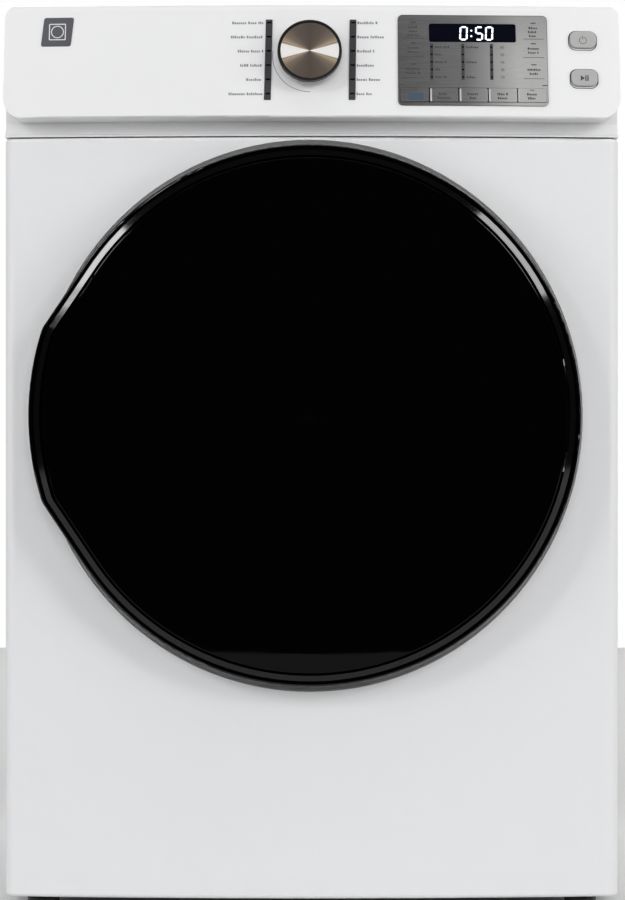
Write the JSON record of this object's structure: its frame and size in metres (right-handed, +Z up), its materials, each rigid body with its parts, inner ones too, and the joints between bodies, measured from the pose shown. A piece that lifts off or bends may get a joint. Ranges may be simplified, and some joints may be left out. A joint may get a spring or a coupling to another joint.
{
  "type": "clothes dryer",
  "caption": "Front-loading clothes dryer: bowed white cabinet with a sloping control console, big round black domed door, belt-driven drum, blower and rear exhaust collar.",
  "frame": {"origin": "on the floor, below the middle of the machine's bounding box", "axes": "+Z up, front of the machine faces -Y, exhaust leaves along +Y, +X to the right seen from the front"},
  "size_m": [0.686, 0.783, 1.016],
  "materials": {
    "white_enamel": "smooth gloss powder coat",
    "white_plastic": "satin moulded plastic",
    "zinc_steel": "galvanised sheet",
    "drum_steel": "satin stainless",
    "black_gloss": "high gloss",
    "dark_glass": "mirror gloss tinted pane",
    "clear_glass": "clear pressed glass",
    "grey_plastic": "satin",
    "light_plastic": "satin",
    "black_plastic": "satin",
    "bronze_metal": "circular brushed, bronze tint",
    "brushed_silver": "brushed",
    "indicator_grey": "satin",
    "display_black": "gloss lens",
    "circuit_green": "solder mask",
    "felt": "pressed wool felt",
    "rubber": "moulded",
    "motor_steel": "painted",
    "axle_steel": "turned",
    "screw_steel": "zinc plated"
  },
  "bodies": {
    "cabinet": {"front_panel": "white_enamel", "side_panel_left": "white_enamel", "side_panel_right": "white_enamel", "rear_panel": "zinc_steel", "base_pan": "zinc_steel", "top_panel": "white_enamel", "console_fascia": "white_plastic", "control_board": "circuit_green", "display_panel": "brushed_silver", "display_window": "display_black", "cycle_indicators": "indicator_grey", "front_bulkhead": "white_enamel", "rear_bulkhead": "zinc_steel", "felt_seals": "felt", "heater_housing": "zinc_steel", "heater_coil": "axle_steel", "lint_duct": "grey_plastic", "blower_housing": "grey_plastic", "exhaust_duct": "zinc_steel", "motor_housing": "motor_steel", "motor_bracket": "zinc_steel", "roller_axles": "axle_steel", "drive_belt": "rubber", "idler_spring": "axle_steel", "hinge_bracket": "axle_steel", "door_catch": "grey_plastic", "terminal_cover": "zinc_steel", "cord_inlet": "black_plastic", "cabinet_screws": "screw_steel"},
    "drum": {"drum_shell": "drum_steel", "drum_baffles": "light_plastic"},
    "blower_rotor": {"motor_shaft": "axle_steel", "blower_wheel": "black_plastic"},
    "idler_arm": {"idler_arm": "zinc_steel"},
    "idler_pulley": {"idler_pulley": "black_plastic"},
    "door": {"door_outer_ring": "black_gloss", "door_window": "dark_glass", "door_inner_frame": "light_plastic", "door_glass_bowl": "clear_glass", "door_gasket": "rubber", "door_hinge_arm": "axle_steel", "door_striker": "axle_steel"},
    "knob": {"selector_knob": "black_plastic", "knob_cap": "bronze_metal"},
    "power_button": {"power_button": "light_plastic"},
    "start_button": {"start_button": "light_plastic"},
    "lint_filter": {"lint_filter": "light_plastic"},
    "support_roller_front_left": {"support_roller_front_left": "rubber"},
    "support_roller_front_right": {"support_roller_front_right": "rubber"},
    "support_roller_rear_left": {"support_roller_rear_left": "rubber"},
    "support_roller_rear_right": {"support_roller_rear_right": "rubber"},
    "option_key_1": {"option_key_1": "brushed_silver"},
    "option_key_2": {"option_key_2": "brushed_silver"},
    "option_key_3": {"option_key_3": "brushed_silver"},
    "option_key_4": {"option_key_4": "brushed_silver"},
    "option_key_5": {"option_key_5": "brushed_silver"},
    "leveling_foot_front_left": {"leveling_foot_front_left": "black_plastic"},
    "leveling_foot_front_right": {"leveling_foot_front_right": "black_plastic"},
    "leveling_foot_rear_left": {"leveling_foot_rear_left": "black_plastic"},
    "leveling_foot_rear_right": {"leveling_foot_rear_right": "black_plastic"}
  },
  "joints": [
    {"name": "door_hinge", "type": "hinge", "parent": "cabinet", "child": "door", "pos_m": [0.284, -0.3555, 0.557], "axis": [0, 0, 1], "range_deg": [0, 110]},
    {"name": "drum_spin", "type": "hinge", "parent": "cabinet", "child": "drum", "pos_m": [-0.002, 0, 0.557], "axis": [0, 1, 0], "continuous": true},
    {"name": "blower_spin", "type": "hinge", "parent": "cabinet", "child": "blower_rotor", "pos_m": [0.15, 0, 0.13], "axis": [0, 1, 0], "continuous": true},
    {"name": "idler_swing", "type": "hinge", "parent": "cabinet", "child": "idler_arm", "pos_m": [0.09, 0, 0.07], "axis": [0, 1, 0], "range_deg": [-8, 0], "stiffness_Nm_per_rad": 1, "springref_deg": 8.59, "deforming": ["idler_spring"]},
    {"name": "idler_pulley_spin", "type": "hinge", "parent": "idler_arm", "child": "idler_pulley", "pos_m": [0.077, 0, 0.143], "axis": [0, 1, 0], "continuous": true},
    {"name": "roller_front_left_spin", "type": "hinge", "parent": "cabinet", "child": "support_roller_front_left", "pos_m": [-0.207, 0, 0.26424], "axis": [0, 1, 0], "continuous": true},
    {"name": "roller_front_right_spin", "type": "hinge", "parent": "cabinet", "child": "support_roller_front_right", "pos_m": [0.203, 0, 0.26424], "axis": [0, 1, 0], "continuous": true},
    {"name": "roller_rear_left_spin", "type": "hinge", "parent": "cabinet", "child": "support_roller_rear_left", "pos_m": [-0.207, 0, 0.26424], "axis": [0, 1, 0], "continuous": true},
    {"name": "roller_rear_right_spin", "type": "hinge", "parent": "cabinet", "child": "support_roller_rear_right", "pos_m": [0.203, 0, 0.26424], "axis": [0, 1, 0], "continuous": true},
    {"name": "knob_turn", "type": "hinge", "parent": "cabinet", "child": "knob", "pos_m": [-0.0023, -0.34867, 0.956], "axis": [-0.0005, -0.9793, 0.2026], "continuous": true},
    {"name": "power_button_press", "type": "slide", "parent": "cabinet", "child": "power_button", "axis": [-0.0702, 0.9767, -0.2026], "range_m": [0, 0.0015], "stiffness_N_per_m": 400, "springref_m": -0.0015},
    {"name": "start_button_press", "type": "slide", "parent": "cabinet", "child": "start_button", "axis": [-0.0703, 0.9767, -0.2026], "range_m": [0, 0.0015], "stiffness_N_per_m": 400, "springref_m": -0.0015},
    {"name": "option_key_1_press", "type": "slide", "parent": "cabinet", "child": "option_key_1", "axis": [-0.0263, 0.9789, -0.2026], "range_m": [0, 0.0008], "stiffness_N_per_m": 400, "springref_m": -0.001},
    {"name": "option_key_2_press", "type": "slide", "parent": "cabinet", "child": "option_key_2", "axis": [-0.0339, 0.9787, -0.2026], "range_m": [0, 0.0008], "stiffness_N_per_m": 400, "springref_m": -0.001},
    {"name": "option_key_3_press", "type": "slide", "parent": "cabinet", "child": "option_key_3", "axis": [-0.0415, 0.9784, -0.2026], "range_m": [0, 0.0008], "stiffness_N_per_m": 400, "springref_m": -0.001},
    {"name": "option_key_4_press", "type": "slide", "parent": "cabinet", "child": "option_key_4", "axis": [-0.049, 0.978, -0.2026], "range_m": [0, 0.0008], "stiffness_N_per_m": 400, "springref_m": -0.001},
    {"name": "option_key_5_press", "type": "slide", "parent": "cabinet", "child": "option_key_5", "axis": [-0.0566, 0.9776, -0.2026], "range_m": [0, 0.0008], "stiffness_N_per_m": 400, "springref_m": -0.001},
    {"name": "lint_filter_lift", "type": "slide", "parent": "cabinet", "child": "lint_filter", "axis": [0, 0, 1], "range_m": [0, 0.2]},
    {"name": "foot_front_left_adjust", "type": "slide", "parent": "cabinet", "child": "leveling_foot_front_left", "axis": [0, 0, 1], "range_m": [-0.02, 0.002]},
    {"name": "foot_front_right_adjust", "type": "slide", "parent": "cabinet", "child": "leveling_foot_front_right", "axis": [0, 0, 1], "range_m": [-0.02, 0.002]},
    {"name": "foot_rear_left_adjust", "type": "slide", "parent": "cabinet", "child": "leveling_foot_rear_left", "axis": [0, 0, 1], "range_m": [-0.02, 0.002]},
    {"name": "foot_rear_right_adjust", "type": "slide", "parent": "cabinet", "child": "leveling_foot_rear_right", "axis": [0, 0, 1], "range_m": [-0.02, 0.002]}
  ],
  "couplings": [
    {"joint": "blower_spin", "follows": "drum_spin", "ratio": 21.327},
    {"joint": "idler_pulley_spin", "follows": "drum_spin", "ratio": -15.319},
    {"joint": "roller_front_left_spin", "follows": "drum_spin", "ratio": -10.156},
    {"joint": "roller_front_right_spin", "follows": "drum_spin", "ratio": -10.156},
    {"joint": "roller_rear_left_spin", "follows": "drum_spin", "ratio": -10.156},
    {"joint": "roller_rear_right_spin", "follows": "drum_spin", "ratio": -10.156}
  ]
}
